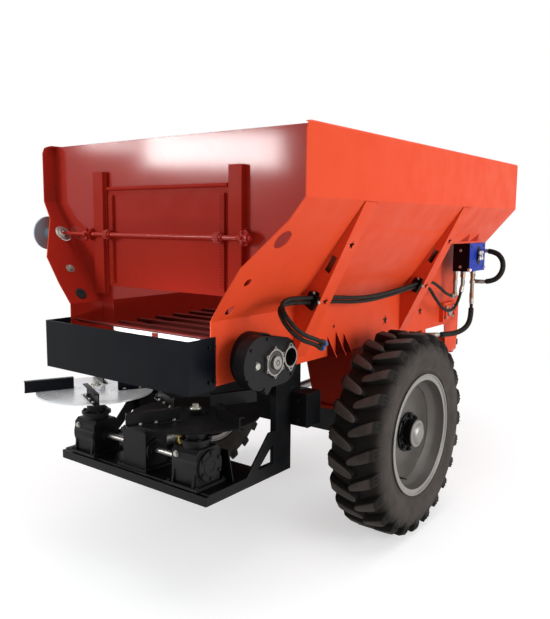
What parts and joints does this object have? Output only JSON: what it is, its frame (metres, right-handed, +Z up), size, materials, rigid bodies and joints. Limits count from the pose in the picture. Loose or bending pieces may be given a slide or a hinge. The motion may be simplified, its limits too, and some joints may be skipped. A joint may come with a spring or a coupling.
{
  "type": "towed manure spreader",
  "caption": "Two-wheeled towed manure spreader with a tapered hopper, chain floor, lift gate and twin spinning discs.",
  "frame": {"origin": "middle of the machine's plan, on the ground", "axes": "+X to the machine's right, +Y forward to the tractor, +Z up"},
  "size_m": [1.76, 4.0216, 2.077],
  "materials": {
    "orange_paint": "glossy orange paint",
    "black_paint": "satin black paint",
    "blue_paint": "blue paint",
    "rim_silver": "silver paint",
    "tyre_rubber": "black rubber",
    "bare_steel": "turned steel",
    "cast": "black cast iron",
    "hose_rubber": "black hose",
    "zinc": "zinc plated steel"
  },
  "bodies": {
    "root": {"axle_beam": "black_paint", "axle_pillars": "orange_paint", "chain_tensioners": "cast", "chassis_frame": "orange_paint", "chute_plate": "zinc", "conveyor_bearings": "orange_paint", "conveyor_chain": "orange_paint", "conveyor_front_shaft": "bare_steel", "conveyor_gear_case": "cast", "conveyor_rear_shaft": "bare_steel", "drawbar": "orange_paint", "drive_line_bearings": "black_paint", "floor_lip": "orange_paint", "floor_sheet": "orange_paint", "gate_guides": "orange_paint", "gate_shaft_brackets": "orange_paint", "gearbox_centre": "cast", "gearbox_left": "cast", "gearbox_right": "cast", "hitch_eye": "bare_steel", "hopper_front_wall": "orange_paint", "hopper_rear_wall": "orange_paint", "hopper_side_left": "orange_paint", "hopper_side_right": "orange_paint", "hose_clamps": "cast", "hose_fittings": "zinc", "hose_line_drop": "hose_rubber", "hose_line_loop": "hose_rubber", "hose_line_lower": "hose_rubber", "hose_line_upper": "hose_rubber", "hydraulic_valve": "blue_paint", "jack_housing": "black_paint", "rear_deflector": "black_paint", "side_ribs_left": "orange_paint", "side_ribs_right": "orange_paint", "spinner_cross_beam": "black_paint", "spinner_frame": "black_paint", "valve_fittings": "zinc"},
    "wheel_right": {"tyre_right": "tyre_rubber", "wheel_rim_right": "rim_silver", "wheel_hub_right": "black_paint"},
    "wheel_left": {"tyre_left": "tyre_rubber", "wheel_rim_left": "rim_silver", "wheel_hub_left": "black_paint"},
    "spinner_right": {"spinner_disc_right": "black_paint"},
    "spinner_left": {"spinner_disc_left": "bare_steel"},
    "cross_shaft": {"cross_shaft": "bare_steel"},
    "drive_line": {"drive_line": "bare_steel"},
    "gate": {"gate_plate": "orange_paint"},
    "gate_shaft": {"gate_shaft": "orange_paint"},
    "jack_leg": {"jack_leg": "black_paint"}
  },
  "joints": [
    {"name": "wheel_right_spin", "type": "hinge", "parent": "root", "child": "wheel_right", "pos_m": [0.735, -0.47121, 0.55], "axis": [1, 0, 0], "continuous": true},
    {"name": "wheel_left_spin", "type": "hinge", "parent": "root", "child": "wheel_left", "pos_m": [-0.735, -0.47121, 0.55], "axis": [1, 0, 0], "continuous": true},
    {"name": "spinner_right_spin", "type": "hinge", "parent": "root", "child": "spinner_right", "pos_m": [0.345, -1.67621, 0.842], "axis": [0, 0, 1], "continuous": true},
    {"name": "spinner_left_spin", "type": "hinge", "parent": "root", "child": "spinner_left", "pos_m": [-0.345, -1.67621, 0.842], "axis": [0, 0, 1], "continuous": true},
    {"name": "cross_shaft_spin", "type": "hinge", "parent": "root", "child": "cross_shaft", "pos_m": [0, -1.67621, 0.622], "axis": [1, 0, 0], "continuous": true},
    {"name": "drive_line_spin", "type": "hinge", "parent": "root", "child": "drive_line", "pos_m": [0, -1.56421, 0.622], "axis": [0, 0.9993, 0.0384], "continuous": true},
    {"name": "gate_slide", "type": "slide", "parent": "root", "child": "gate", "axis": [0, 0, 1], "range_m": [-0.17, 0.075]},
    {"name": "gate_shaft_turn", "type": "hinge", "parent": "root", "child": "gate_shaft", "pos_m": [0, -1.55951, 1.612], "axis": [1, 0, 0], "range_deg": [-420, 420]},
    {"name": "jack_slide", "type": "slide", "parent": "root", "child": "jack_leg", "axis": [0, 0, 1], "range_m": [0, 0.3]}
  ],
  "couplings": [
    {"joint": "spinner_left_spin", "follows": "spinner_right_spin", "ratio": -1},
    {"joint": "cross_shaft_spin", "follows": "spinner_right_spin", "ratio": 1},
    {"joint": "drive_line_spin", "follows": "spinner_right_spin", "ratio": 1},
    {"joint": "gate_shaft_turn", "follows": "gate_slide", "rad_per_m": 41}
  ]
}
